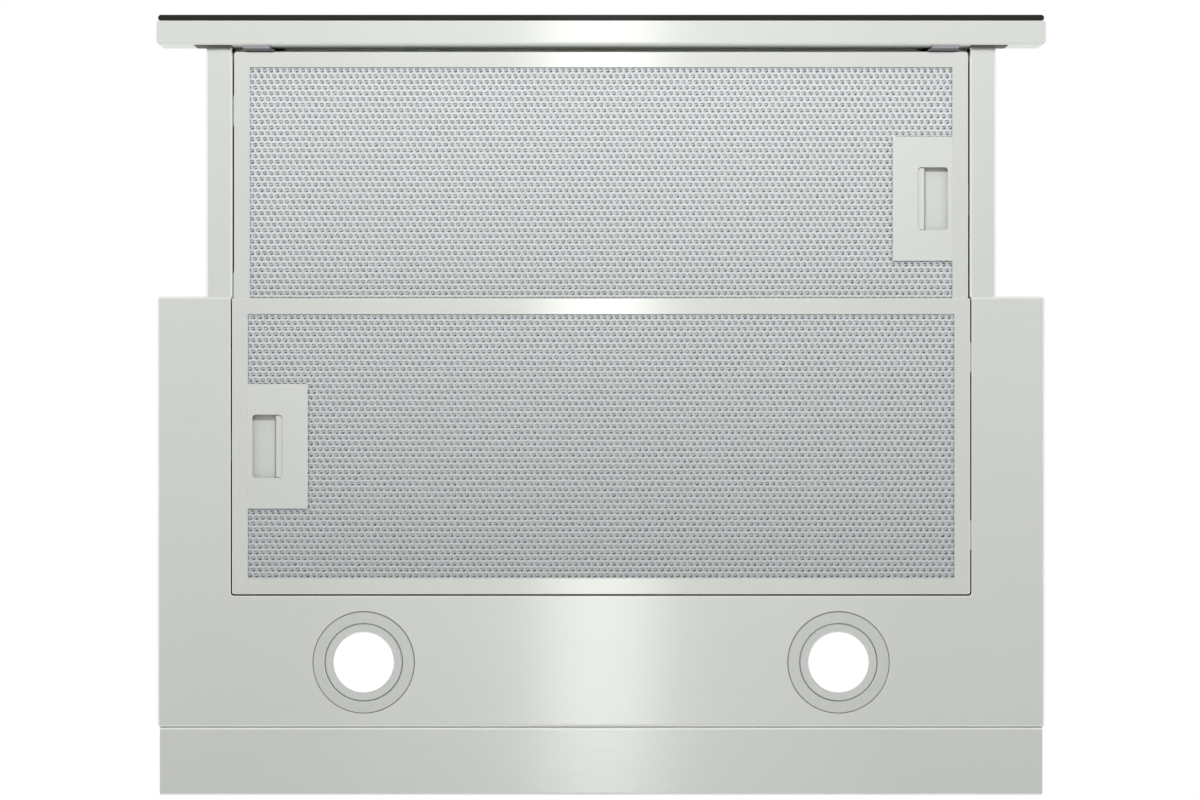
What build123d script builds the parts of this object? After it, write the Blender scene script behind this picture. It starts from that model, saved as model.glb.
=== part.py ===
"""A 60 cm pull-out cooker hood for a wall cabinet, drawn with its drawer out.

Millimetres. +X is to the right seen from below with the front up, +Y goes back to the wall, +Z is up.
The origin is the middle of the four cabinet screw holes, in the plane of the cabinet's underside.
"""

import math
import os

from build123d import *

# Base: the stainless tray under the cabinet
HOOD_WIDTH = 598.0
BASE_DEPTH = 290.0
BASE_HEIGHT = 41.0
SHEET = 1.0
BEND = 0.8
PLAN_CORNER = 2.0
SIDE_BAND = 49.7
LAMP_BAND = 88.6
CROSS_FLANGE = 14.0
HEADER_HEIGHT = 3.5
LIP_HEIGHT = 8.4
CABINET_SCREW_INSET = 18.0
CABINET_SCREW_END = 45.0
CABINET_SCREW_HOLE = 4.5

# Upper housing: the galvanised box inside the cabinet
BOX_INSET = 36.0
BOX_STEP = 2.0
BOX_HEIGHT = 162.0
BOX_SHEET = 0.8
BOX_FLANGE = 12.0
BEAD_DEPTH = 1.5
BEAD_WIDTH = 14.0
BEAD_END = 40.0
BEAD_LEVELS = (0.3, 0.7)

# Filter cassettes, both alike
FILTER_HEIGHT = 8.0
FILTER_CORNER = 1.5
FILTER_BORDER = 10.75
FILTER_TOP_BORDER = 8.0
FILTER_SHEET = 0.8
FILTER_GAP = 0.7
FILTER_FRONT_INSET = 1.1
FILTER_REAR_GAP = 0.8
MESH_SHEET = 0.5
MESH_FIT = 0.3
PLEAT_COUNT = 20
TAB_WIDTH = 20.0
TAB_THICK = 2.0
TAB_REACH = 3.65
TAB_SPACING = 120.0
SLOT_DROP = 0.3
SLOT_RISE = 1.1

# Latch in the filter cassette
LATCH_PLATE_X = 40.4
LATCH_PLATE_Y = 84.0
LATCH_WINDOW_X = 20.3
LATCH_WINDOW_Y = 42.6
LATCH_WINDOW_EDGE = 3.0
LATCH_WINDOW_CORNER = 2.4
LATCH_CASE_Y = 50.0
LATCH_CASE_INSET = 1.3
LATCH_WALL = 1.0
GRIP_VISIBLE = 4.7
GRIP_HIDDEN = 2.8
RECESS_DEPTH = 5.0
SLIDER_THICK = 1.0
SLIDER_END_GAP = 4.0
SPRING_THICK = 0.4
SPRING_WIDTH = 3.0
SPRING_LEVEL = 1.8
SLIDE_FIT = 0.2

# Drawer
DRAWER_OVERLAP = 31.5
DRAWER_RISE = 9.0
DRAWER_REAR_LAND = 1.7
STRIP_WIDTH = 18.25
PAN_HEIGHT = 27.0
PAN_GAP = 0.3
DRAWER_FILTER_GAP = 2.55

# Handle on the drawer's front
HANDLE_DEPTH = 16.2
HANDLE_DROP = 2.0
HANDLE_LIP = 17.0
HANDLE_LEDGE = 2.0
HANDLE_HEIGHT = 37.0
HANDLE_TOP_LAND = 6.4
HANDLE_WALL = 1.2
HANDLE_BEND = 1.6
HANDLE_REAR_CORNER = 3.2
HANDLE_FRONT_CORNER = 1.4
HANDLE_CLOSED_GAP = 1.2
HANDLE_SCREW_X = (-200.0, -100.0, 0.0, 100.0, 200.0)
GLASS_INSET = 1.0
GLASS_THICK = 4.0
GLASS_HEIGHT = 39.0
TOUCH_WINDOW_X = 132.0
TOUCH_WINDOW_Z = 26.0
TOUCH_RISE = 21.0
TOUCH_PAD_RADIUS = 4.0
TOUCH_PAD_PITCH = 24
CARRIER_WIDTH = 24.55
CARRIER_ARM = 29.0
CARRIER_FIT = 0.3
CLIP_WIDTH = 18.0
CLIP_FOOT = 21.0
CLIP_INSET = 17.3
CLIP_TAB = 2.0
CLIP_DROP = 0.4

# Telescopic slides
SLIDE_THICK = 12.7
SLIDE_HEIGHT = 21.0
SLIDE_TOP = 4.5
SLIDE_WALL = 1.0
SLIDE_BEND = 0.5
MIDDLE_WALL = 0.9
MIDDLE_STEP = 3.6
INNER_STEP = 3.4
HANGER_SHEET = 1.2
HANGER_FLANGE = 13.4
OUTER_LENGTH = 250.0
MIDDLE_LENGTH = 220.0
GLIDE_LENGTH = 30.0
GLIDE_SPREAD = 110.0
GLIDE_FIT = 0.1

# Lamps
LAMP_SPACING = 319.6
LAMP_FROM_REAR = 43.7
LAMP_FLANGE_DIAMETER = 69.0
LAMP_FLANGE_THICK = 1.0
LAMP_RING_DIAMETER = 52.4
LAMP_LENS_DIAMETER = 41.0
LAMP_NECK_DIAMETER = 61.0
LAMP_NECK_HEIGHT = 6.0
LAMP_HOLE_DIAMETER = 62.0
LAMP_BODY_HEIGHT = 22.0
LAMP_FIN_HEIGHT = 7.0
LAMP_FIT = 0.3
LAMP_FINS = 9

# Blower
BLOWER_LIFT = 1.0
IMPELLER_GAP = 6.0
IMPELLER_HALF_WIDTH = 48.0
BLADE_COUNT = 32
BLADE_DEPTH = 11.0
BLADE_THICK = 1.0
SCROLL_HALF_WIDTH = 58.0
SCROLL_WALL = 2.0
SCROLL_MARGIN = 13.0
SCROLL_GROWTH = 22.0
SCROLL_CUTOFF = 60.0
SCROLL_FLANGE = 4.0
SCROLL_LUGS = (100, 155, 210, 320)
INLET_STEP = 12.0
SHAFT_RADIUS = 4.0
SHAFT_FIT = 0.05
MOTOR_RADIUS = 38.0
MOTOR_START = -95.0
MOTOR_LENGTH = 66.0
MOTOR_SLOTS = 12
MOTOR_ARM_TURN = 100.0
MOTOR_BUSH_STEP = 13.0
MOTOR_BUSH_LENGTH = 7.0
BRACKET_PLATE = 2.0

# Electrical pieces under the housing's top
CONTROL_SIZE = (100.0, 100.0, 36.0)
CONTROL_INSET = 73.0
CONTROL_Y = -10.0
DRIVER_SIZE = (65.0, 36.0, 22.0)
DRIVER_INSET = (80.5, 75.0)
CAPACITOR_SIZE = (17.0, 62.0)
CAPACITOR_INSET = (133.0, 48.0)
GLAND_RADIUS = 8.0
GLAND_BORE = 3.6
GLAND_INSET = (58.0, 43.0)

# Outlet collar and its flaps
COLLAR_DIAMETER = 149.5
COLLAR_WALL = 2.5
COLLAR_HEIGHT = 43.0
COLLAR_FLANGE = 172.0
COLLAR_FLANGE_THICK = 2.5
COLLAR_SCREW_CIRCLE = 161.0
BOSS_HALF_WIDTH = 6.9
BOSS_DEPTH = 4.3
BOSS_RISE = 2.8
FLAP_THICK = 1.5
FLAP_LEVEL = 8.3
FLAP_FIT = 0.6
FLAP_AXIS_X = 3.5
FLAP_NOTCH = 5.1
FLAP_BARREL = 2.5
FLAP_PIN = 1.5
FLAP_PIN_FIT = 0.05

# Rear filler, side brackets and fasteners
FILLER_INSET = 1.8
FILLER_DEPTH = 46.0
FILLER_RISE = 0.5
FILLER_LEG = 28.0
FILLER_LIP = 6.0
CABINET_WALL = 15.0
BRACKET_SHEET = 1.5
BRACKET_LENGTH = 64.0
BRACKET_LEVEL = 78.0
BRACKET_LEG = 38.0
BRACKET_SLOT_SPACING = 32.0
BRACKET_SLOT_LENGTH = 10.0
BRACKET_SLOT_WIDTH = 4.5
SCREW_SHANK = 3.0
SCREW_HOLE = 3.4
SCREW_HEAD = 6.0
SCREW_HEAD_HEIGHT = 1.8
SCREW_FRONT_EDGE = 31.0
SCREW_REAR_EDGE = 19.0
BRACKET_SCREW_SPACING = 40.0

# Levels and places that follow from the sizes above
BASE_BOTTOM = -BASE_HEIGHT
BASE_FRONT = -BASE_DEPTH / 2
BASE_REAR = BASE_DEPTH / 2
OPENING_HALF = HOOD_WIDTH / 2 - SIDE_BAND
CUTOUT_REAR = BASE_REAR - LAMP_BAND
FILTER_WIDTH = 2 * (OPENING_HALF - FILTER_GAP)
FILTER_DEPTH = CUTOUT_REAR - FILTER_REAR_GAP - BASE_FRONT - FILTER_FRONT_INSET
REAR_FILTER_Y = BASE_FRONT + FILTER_FRONT_INSET + FILTER_DEPTH / 2
TAB_LEVEL = RECESS_DEPTH + SLIDER_THICK - TAB_THICK
CABINET_SCREW_X = HOOD_WIDTH - 2 * CABINET_SCREW_INSET
CABINET_SCREW_Y = BASE_DEPTH - 2 * CABINET_SCREW_END
BOX_WIDTH = HOOD_WIDTH - 2 * BOX_INSET
BOX_DEPTH = BASE_DEPTH - 2 * BOX_STEP
DRAWER_BOTTOM = BASE_BOTTOM + DRAWER_RISE
DRAWER_TRAVEL = FILTER_DEPTH - DRAWER_OVERLAP
DRAWER_LENGTH = FILTER_DEPTH + DRAWER_FILTER_GAP + DRAWER_REAR_LAND
HANDLE_BOTTOM = BASE_BOTTOM - HANDLE_DROP
HANDLE_REAR = BASE_FRONT - HANDLE_CLOSED_GAP - DRAWER_TRAVEL
HANDLE_FRONT = HANDLE_REAR - HANDLE_DEPTH
HANDLE_TOP = HANDLE_BOTTOM + HANDLE_HEIGHT
LIP_TOP = HANDLE_BOTTOM + HANDLE_LIP
HANDLE_SCREW_Y = HANDLE_FRONT + HANDLE_TOP_LAND / 2 + 0.6
TOUCH_Z = HANDLE_BOTTOM + TOUCH_RISE
PAN_FRONT = HANDLE_REAR + PAN_GAP
PAN_REAR = PAN_FRONT + DRAWER_LENGTH
PAN_TOP = DRAWER_BOTTOM + PAN_HEIGHT
STRIP_OUTER = OPENING_HALF + STRIP_WIDTH
FRONT_FILTER_Y = PAN_FRONT + DRAWER_FILTER_GAP + FILTER_DEPTH / 2
SLIDE_BACK = STRIP_OUTER - SHEET - SLIDE_THICK
SLIDE_Z = -SLIDE_TOP - SLIDE_HEIGHT / 2
SLIDE_HALF = SLIDE_HEIGHT / 2
MIDDLE_HALF = SLIDE_HALF - MIDDLE_STEP
INNER_HALF = MIDDLE_HALF - INNER_STEP
OUTER_START = BASE_FRONT + 4
OUTER_END = OUTER_START + OUTER_LENGTH
MIDDLE_START = OUTER_START + 2 - DRAWER_TRAVEL / 2
MIDDLE_END = MIDDLE_START + MIDDLE_LENGTH
LAMP_Y = BASE_REAR - LAMP_FROM_REAR
BOX_CEILING = BOX_HEIGHT - BOX_SHEET
HOUSING_SCREW_X = BOX_WIDTH / 2 - BOX_FLANGE / 2
HOUSING_SCREW_Y = (OUTER_START + SCREW_FRONT_EDGE, 0.0, OUTER_END - SCREW_REAR_EDGE)
HOUSING_SCREWS = [(side * HOUSING_SCREW_X, y) for side in (-1, 1) for y in HOUSING_SCREW_Y]
BRACKET_SCREWS = [
    (end * BRACKET_SCREW_SPACING / 2, BRACKET_LEVEL - BRACKET_LEG / 2) for end in (-1, 1)
]
SCROLL_START = BOX_HEIGHT / 2 - SCROLL_MARGIN
BLOWER_Z = BOX_HEIGHT / 2 + BLOWER_LIFT
BLOWER_Y = SCROLL_MARGIN + SCROLL_START + SCROLL_GROWTH - BOX_DEPTH / 2
IMPELLER_RADIUS = SCROLL_START - IMPELLER_GAP
INLET_RADIUS = IMPELLER_RADIUS - INLET_STEP
MOTOR_BUSH_CIRCLE = INLET_RADIUS + MOTOR_BUSH_STEP
OUTLET_START = SCROLL_START * math.cos(math.radians(SCROLL_CUTOFF))
OUTLET_Y = BLOWER_Y + (OUTLET_START + SCROLL_START + SCROLL_GROWTH) / 2
COLLAR_INNER = COLLAR_DIAMETER / 2 - COLLAR_WALL
FLAP_AXIS_Z = BOX_HEIGHT + FLAP_LEVEL + FLAP_THICK / 2
COLLAR_SCREWS = [
    (
        COLLAR_SCREW_CIRCLE / 2 * math.cos(math.radians(45 + 90 * i)),
        OUTLET_Y + COLLAR_SCREW_CIRCLE / 2 * math.sin(math.radians(45 + 90 * i)),
    )
    for i in range(4)
]
LATCH_INNER = FILTER_WIDTH / 2 - FILTER_BORDER - LATCH_PLATE_X
CASE_INNER = LATCH_INNER + LATCH_CASE_INSET
CASE_OUTER = FILTER_WIDTH / 2 - FILTER_SHEET - SLIDE_FIT
CASE_TOP = FILTER_HEIGHT - FILTER_SHEET - SLIDE_FIT
WINDOW_OUTER = FILTER_WIDTH / 2 - FILTER_BORDER - LATCH_WINDOW_EDGE
WINDOW_INNER = WINDOW_OUTER - LATCH_WINDOW_X
GRIP_INNER = WINDOW_INNER - GRIP_HIDDEN
GRIP_OUTER = WINDOW_INNER + GRIP_VISIBLE
SLIDER_OUTER = CASE_OUTER - LATCH_WALL - SLIDER_END_GAP
BRACKET_X = -SCROLL_HALF_WIDTH - MOTOR_BUSH_LENGTH - BRACKET_PLATE
CONTROL_PLACE = (BOX_WIDTH / 2 - CONTROL_INSET, CONTROL_Y)
DRIVER_PLACE = (DRIVER_INSET[0] - BOX_WIDTH / 2, BOX_DEPTH / 2 - DRIVER_INSET[1])
CAPACITOR_PLACE = (BOX_WIDTH / 2 - CAPACITOR_INSET[0], CAPACITOR_INSET[1] - BOX_DEPTH / 2)
GLAND_PLACE = (BOX_WIDTH / 2 - GLAND_INSET[0], BOX_DEPTH / 2 - GLAND_INSET[1])


# Shapes used by many pieces


def block(x0, x1, y0, y1, z0, z1):
    """A square-edged block between two corners."""
    return Pos((x0 + x1) / 2, (y0 + y1) / 2, (z0 + z1) / 2) * Box(x1 - x0, y1 - y0, z1 - z0)


def disc(radius, z0, z1, x=0.0, y=0.0):
    """An upright cylinder from z0 to z1."""
    return Pos(x, y, (z0 + z1) / 2) * Cylinder(radius, z1 - z0)


def rod(radius, x0, x1, y, z):
    """A cylinder along X."""
    return Pos((x0 + x1) / 2, y, z) * Rot(0, 90, 0) * Cylinder(radius, x1 - x0)


def cross_pin(radius, length, x, y, z):
    """A cylinder along Y about a middle point."""
    return Pos(x, y, z) * Rot(90, 0, 0) * Cylinder(radius, length)


def section_xz(y_start):
    """The plane of a section drawn in X and Z, extruded towards the front from y_start."""
    return Plane(origin=(0, y_start, 0), x_dir=(1, 0, 0), z_dir=(0, -1, 0))


def section_yz(x_start):
    """The plane of a section drawn in Y and Z, extruded to the right from x_start."""
    return Plane(origin=(x_start, 0, 0), x_dir=(0, 1, 0), z_dir=(1, 0, 0))


def polygon(*points):
    """A flat face with straight edges through points."""
    return make_face(Polyline(*points, close=True))


def folded(points, thickness, bend=BEND):
    """The section of a bent sheet: its thickness lies to the left of the line through points."""
    path = [Vector(*p) for p in points]
    headings = [(b - a).normalized() for a, b in zip(path, path[1:])]
    lefts = [Vector(-h.Y, h.X) for h in headings]
    far_side = [path[0] + lefts[0] * thickness]
    rounds = {bend: [], bend + thickness: []}
    for i, corner in enumerate(path[1:-1]):
        before, after = lefts[i], lefts[i + 1]
        opposite = corner + (before + after) * (thickness / (1 + before.dot(after)))
        far_side.append(opposite)
        turns_left = headings[i].cross(headings[i + 1]).Z > 0
        rounds[bend].append(opposite if turns_left else corner)
        rounds[bend + thickness].append(corner if turns_left else opposite)
    far_side.append(path[-1] + lefts[-1] * thickness)
    face = polygon(*path, *reversed(far_side)).face()
    for radius, corners in rounds.items():
        for corner in corners:
            vertex = min(face.vertices(), key=lambda v: (Vector(v) - corner).length)
            face = face.fillet_2d(radius, [vertex])
    return face


def rounded_lower_rim(cylinder, radius):
    """A cylinder with its lower edge rounded."""
    return fillet(cylinder.edges().filter_by(GeomType.CIRCLE).sort_by(Axis.Z)[0], radius)


def screw(length):
    """A pan-head screw that points down, with its seat at the origin."""
    head = disc(SCREW_HEAD / 2, 0, SCREW_HEAD_HEIGHT)
    head = fillet(head.edges().filter_by(GeomType.CIRCLE).sort_by(Axis.Z)[-1], 0.8)
    return head + disc(SCREW_SHANK / 2, -length, 0.5)


# Filter cassette, drawn about its own middle with the latch at +X and the hook tabs at -X


def tongue_slot(reach, fit_below, fit_above):
    """A slot as wide as a tab or latch tongue, through a wall at X = 0."""
    return block(
        -reach, reach, -TAB_WIDTH / 2 - fit_below, TAB_WIDTH / 2 + fit_below,
        TAB_LEVEL - fit_below, TAB_LEVEL + TAB_THICK + fit_above,
    )


def filter_frame():
    """The folded C-section frame, with two hook tabs at one end and a tongue slot at the other."""
    half_x, half_y = FILTER_WIDTH / 2, FILTER_DEPTH / 2
    frame = extrude(RectangleRounded(FILTER_WIDTH, FILTER_DEPTH, FILTER_CORNER), FILTER_HEIGHT)
    frame = fillet(frame.faces().sort_by(Axis.Z)[0].edges(), 0.6)
    inside_x, inside_y = FILTER_WIDTH - 2 * FILTER_SHEET, FILTER_DEPTH - 2 * FILTER_SHEET
    frame -= Pos(0, 0, FILTER_SHEET) * extrude(
        Rectangle(inside_x, inside_y), FILTER_HEIGHT - 2 * FILTER_SHEET
    )
    for border, level in ((FILTER_BORDER, 0), (FILTER_TOP_BORDER, FILTER_HEIGHT - FILTER_SHEET)):
        frame -= Pos(0, 0, level) * extrude(
            Rectangle(FILTER_WIDTH - 2 * border, FILTER_DEPTH - 2 * border), FILTER_SHEET
        )
    frame -= Pos(half_x, 0, 0) * tongue_slot(2, SLIDE_FIT, SLIDE_FIT)
    for side in (-1, 1):
        middle = side * TAB_SPACING / 2
        frame += block(
            -half_x - TAB_REACH, -half_x + FILTER_SHEET,
            middle - TAB_WIDTH / 2, middle + TAB_WIDTH / 2, TAB_LEVEL, TAB_LEVEL + TAB_THICK,
        )
    return frame


def filter_mesh():
    """The aluminium pad: a flat sheet of expanded metal with a pleated one on it."""
    half_x = FILTER_WIDTH / 2 - FILTER_SHEET - MESH_FIT
    half_y = FILTER_DEPTH / 2 - FILTER_SHEET - MESH_FIT
    low = FILTER_SHEET + MESH_SHEET
    high = FILTER_HEIGHT - FILTER_SHEET - MESH_SHEET
    pitch = 2 * half_x / PLEAT_COUNT
    underside = [(-half_x, low)]
    for i in range(PLEAT_COUNT):
        start = -half_x + i * pitch
        underside += [
            (start + 0.175 * pitch, low), (start + 0.325 * pitch, high),
            (start + 0.675 * pitch, high), (start + 0.825 * pitch, low),
        ]
    underside.append((half_x, low))
    topside = [(x, z + MESH_SHEET) for x, z in reversed(underside)]
    pad = extrude(section_xz(half_y) * polygon(*underside, *topside), 2 * half_y)
    pad += block(-half_x, half_x, -half_y, half_y, FILTER_SHEET, low)
    return pad - block(
        CASE_INNER - MESH_FIT, FILTER_WIDTH, -LATCH_CASE_Y / 2 - MESH_FIT,
        LATCH_CASE_Y / 2 + MESH_FIT, 0, FILTER_HEIGHT,
    )


def latch_housing():
    """The latch plate with its finger window, and the case behind it that guides the slider."""
    middle_x = LATCH_INNER + LATCH_PLATE_X / 2
    plate = Pos(middle_x, 0, 0) * extrude(Rectangle(LATCH_PLATE_X, LATCH_PLATE_Y), FILTER_SHEET)
    half_y = LATCH_CASE_Y / 2
    case = block(CASE_INNER, CASE_OUTER, -half_y, half_y, FILTER_SHEET, CASE_TOP)
    case -= block(
        CASE_INNER + LATCH_WALL, CASE_OUTER - LATCH_WALL, -half_y + LATCH_WALL, half_y - LATCH_WALL,
        FILTER_SHEET, CASE_TOP - FILTER_SHEET,
    )
    case -= Pos(CASE_OUTER, 0, 0) * tongue_slot(2, SLIDE_FIT, SLIDE_FIT)
    window = RectangleRounded(LATCH_WINDOW_X, LATCH_WINDOW_Y, LATCH_WINDOW_CORNER)
    return plate + case - Pos(WINDOW_INNER + LATCH_WINDOW_X / 2, 0, 0) * extrude(window, FILTER_SHEET)


def latch_slider():
    """The sliding latch: recess floor, grip rib and the tongue that hooks into the opening's wall."""
    half_y = LATCH_CASE_Y / 2 - LATCH_WALL - SLIDE_FIT
    slider_top = RECESS_DEPTH + SLIDER_THICK
    floor = block(GRIP_INNER, SLIDER_OUTER, -half_y, half_y, RECESS_DEPTH, slider_top)
    grip_half = LATCH_WINDOW_Y / 2 - 2 * SLIDE_FIT
    grip = block(
        GRIP_INNER, GRIP_OUTER, -grip_half, grip_half, FILTER_SHEET + SLIDE_FIT, RECESS_DEPTH
    )
    grip = fillet(grip.edges().filter_by(Axis.Y).group_by(Axis.Z)[0], 0.8)
    root, tip = SLIDER_OUTER - 2, FILTER_WIDTH / 2 + TAB_REACH
    tongue = polygon(
        (root, slider_top), (root, TAB_LEVEL), (tip - 1, TAB_LEVEL), (tip, TAB_LEVEL + 1),
        (tip, slider_top),
    )
    return floor + grip + extrude(section_xz(TAB_WIDTH / 2) * tongue, TAB_WIDTH)


def latch_spring():
    """The bowed leaf spring that pushes the slider out."""
    wall = CASE_INNER + LATCH_WALL + 0.1
    crest = GRIP_INNER - 0.1
    half_span = LATCH_CASE_Y / 2 - LATCH_WALL - 4
    foot = half_span - SPRING_THICK
    outer = ThreePointArc((wall, -half_span), (crest, 0), (wall, half_span))
    inner = ThreePointArc((wall, foot), (crest - SPRING_THICK, 0), (wall, -foot))
    tips = [Line((wall, half_span), (wall, foot)), Line((wall, -foot), (wall, -half_span))]
    bow = make_face([outer, tips[0], inner, tips[1]])
    return Pos(0, 0, SPRING_LEVEL) * extrude(bow, SPRING_WIDTH)


def cassette(prefix, place):
    """The five pieces of one filter cassette at its place."""
    return {
        f"{prefix}_filter_frame": place * filter_frame(),
        f"{prefix}_filter_mesh": place * filter_mesh(),
        f"{prefix}_latch_housing": place * latch_housing(),
        f"{prefix}_latch_slider": place * latch_slider(),
        f"{prefix}_latch_spring": place * latch_spring(),
    }


# Base


def cutout_plan(outset=0.0):
    """The filter opening in plan, open at the front and round at its two rear corners."""
    half = OPENING_HALF + outset
    rear = CUTOUT_REAR + outset
    front = BASE_FRONT - 20
    plan = polygon((-half, front), (half, front), (half, rear), (-half, rear)).face()
    return plan.fillet_2d(PLAN_CORNER + outset, [v for v in plan.vertices() if v.Y > 0])


def folded_tray():
    """The base's closed tray, before anything is cut out of it."""
    tray = extrude(Rectangle(HOOD_WIDTH, BASE_DEPTH), BASE_HEIGHT)
    tray = fillet(tray.edges().filter_by(Axis.Z), PLAN_CORNER)
    tray = fillet(tray.faces().sort_by(Axis.Z)[0].edges(), BEND + SHEET)
    hollow = extrude(
        Rectangle(HOOD_WIDTH - 2 * SHEET, BASE_DEPTH - 2 * SHEET), BASE_HEIGHT - 2 * SHEET
    )
    hollow = fillet(hollow.edges().filter_by(Axis.Z), PLAN_CORNER - SHEET)
    hollow = fillet(hollow.faces().sort_by(Axis.Z)[0].edges(), BEND)
    return Pos(0, 0, BASE_BOTTOM) * (tray - Pos(0, 0, SHEET) * hollow)


def base_panel():
    """The folded tray: bottom with its cut-out, walls, return flanges and the header over the drawer."""
    tray = folded_tray()
    ring_x = BOX_WIDTH / 2 - BOX_FLANGE
    tray -= block(
        -ring_x, ring_x, BASE_FRONT + CROSS_FLANGE, BASE_REAR - CROSS_FLANGE, -2 * SHEET, 1
    )
    mouth = STRIP_OUTER + 1.0
    tray -= block(
        -mouth, mouth, BASE_FRONT - 1, BASE_FRONT + SHEET + BEND,
        BASE_BOTTOM + LIP_HEIGHT, -HEADER_HEIGHT,
    )
    tray -= Pos(0, 0, BASE_BOTTOM - 1) * extrude(cutout_plan(), SHEET + LIP_HEIGHT + 1)
    lips = extrude(cutout_plan(SHEET), LIP_HEIGHT) - extrude(cutout_plan(), LIP_HEIGHT)
    lips -= block(-HOOD_WIDTH, HOOD_WIDTH, BASE_FRONT - 40, BASE_FRONT, -1, LIP_HEIGHT + 1)
    tray += Pos(0, 0, BASE_BOTTOM) * lips
    rim = [
        e for e in tray.faces().sort_by(Axis.Z)[0].edges()
        if abs(e.center().X) < OPENING_HALF + 0.01 and e.center().Y < CUTOUT_REAR + 0.01
        and e.center().Y > BASE_FRONT + 2 * (BEND + SHEET)
    ]
    tray = fillet(rim, BEND)
    slots = [(OPENING_HALF, REAR_FILTER_Y + side * TAB_SPACING / 2) for side in (-1, 1)]
    for x, y in [*slots, (-OPENING_HALF, REAR_FILTER_Y)]:
        tray -= Pos(x, y, BASE_BOTTOM) * tongue_slot(6, SLOT_DROP, SLOT_RISE)
    for side in (-1, 1):
        tray -= disc(
            LAMP_HOLE_DIAMETER / 2, BASE_BOTTOM - 1, BASE_BOTTOM + SHEET + 1,
            side * LAMP_SPACING / 2, LAMP_Y,
        )
        for end in (-1, 1):
            tray -= disc(
                CABINET_SCREW_HOLE / 2, -SHEET - 1, 1,
                side * CABINET_SCREW_X / 2, end * CABINET_SCREW_Y / 2,
            )
    for x, y in HOUSING_SCREWS:
        tray -= disc(SCREW_HOLE / 2, -SHEET - 1, 1, x, y)
    return tray


def rear_filler():
    """The bent strip behind the base that closes the gap to the wall."""
    level = BASE_BOTTOM + FILLER_RISE
    rear = BASE_REAR + FILLER_DEPTH
    profile = folded(
        [(BASE_REAR, level + FILLER_LEG), (BASE_REAR, level), (rear, level), (rear, level + FILLER_LIP)],
        SHEET,
    )
    width = HOOD_WIDTH - 2 * FILLER_INSET
    return extrude(section_yz(-width / 2) * profile, width)


# Upper housing


def stiffening_bead(level):
    """A pressed bead along the housing's front wall, standing out of it."""
    face_y, half = -BOX_DEPTH / 2, BEAD_WIDTH / 2
    crest = half - 2 * BEAD_DEPTH
    section = polygon(
        (face_y, level - half), (face_y, level + half),
        (face_y - BEAD_DEPTH, level + crest), (face_y - BEAD_DEPTH, level - crest),
    )
    length = BOX_WIDTH - 2 * BEAD_END
    return extrude(section_yz(-length / 2) * section, length)


def upper_wrap():
    """The front, top and back of the upper housing in one folded sheet."""
    half_x, half_y = BOX_WIDTH / 2, BOX_DEPTH / 2
    profile = folded(
        [
            (half_y - BOX_FLANGE, 0), (half_y, 0), (half_y, BOX_HEIGHT),
            (-half_y, BOX_HEIGHT), (-half_y, 0), (-half_y + BOX_FLANGE, 0),
        ],
        BOX_SHEET,
    )
    wrap = extrude(section_yz(-half_x) * profile, BOX_WIDTH)
    notch_y = BOX_FLANGE + 1 - BOX_SHEET
    for side in (-1, 1):
        for end in (-1, 1):
            middle_y = end * (half_y - BOX_SHEET - notch_y / 2)
            wrap -= Pos(side * half_x, middle_y, 0) * Box(
                2 * BOX_FLANGE, notch_y, 2 * (BOX_SHEET + BEND)
            )
    holes = [(0, OUTLET_Y, COLLAR_INNER), (*GLAND_PLACE, GLAND_RADIUS)]
    holes += [(x, y, SCREW_HOLE / 2) for x, y in COLLAR_SCREWS]
    for x, y, radius in holes:
        wrap -= disc(radius, BOX_CEILING - 1, BOX_HEIGHT + 1, x, y)
    for level in BEAD_LEVELS:
        wrap += stiffening_bead(BOX_HEIGHT * level)
    return wrap


def side_plate():
    """The right end of the upper housing: a shallow flanged tray set into the wrap."""
    depth = BOX_DEPTH - 2 * BOX_SHEET
    outer = BOX_WIDTH / 2
    web = outer - BOX_SHEET
    tray = Pos(outer - BOX_FLANGE / 2, 0, BOX_CEILING / 2) * Box(BOX_FLANGE, depth, BOX_CEILING)
    tray = fillet(tray.edges().filter_by(Axis.X), BEND + BOX_SHEET)
    inside = Pos(web - BOX_FLANGE / 2, 0, BOX_CEILING / 2) * Box(
        BOX_FLANGE, depth - 2 * BOX_SHEET, BOX_CEILING - 2 * BOX_SHEET
    )
    tray -= fillet(inside.edges().filter_by(Axis.X), BEND)
    for end in (-1, 1):
        tray -= Pos(web - BOX_FLANGE / 2, end * depth / 2, 0) * Box(
            BOX_FLANGE, 2 * BOX_FLANGE, 2 * (BOX_SHEET + BEND)
        )
    for x, y in HOUSING_SCREWS:
        tray -= disc(SCREW_HOLE / 2, -1, BOX_SHEET + 1, abs(x), y)
    for y, z in BRACKET_SCREWS:
        tray -= rod(SCREW_HOLE / 2, web - 1, outer + 1, y, z)
    return tray


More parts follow.
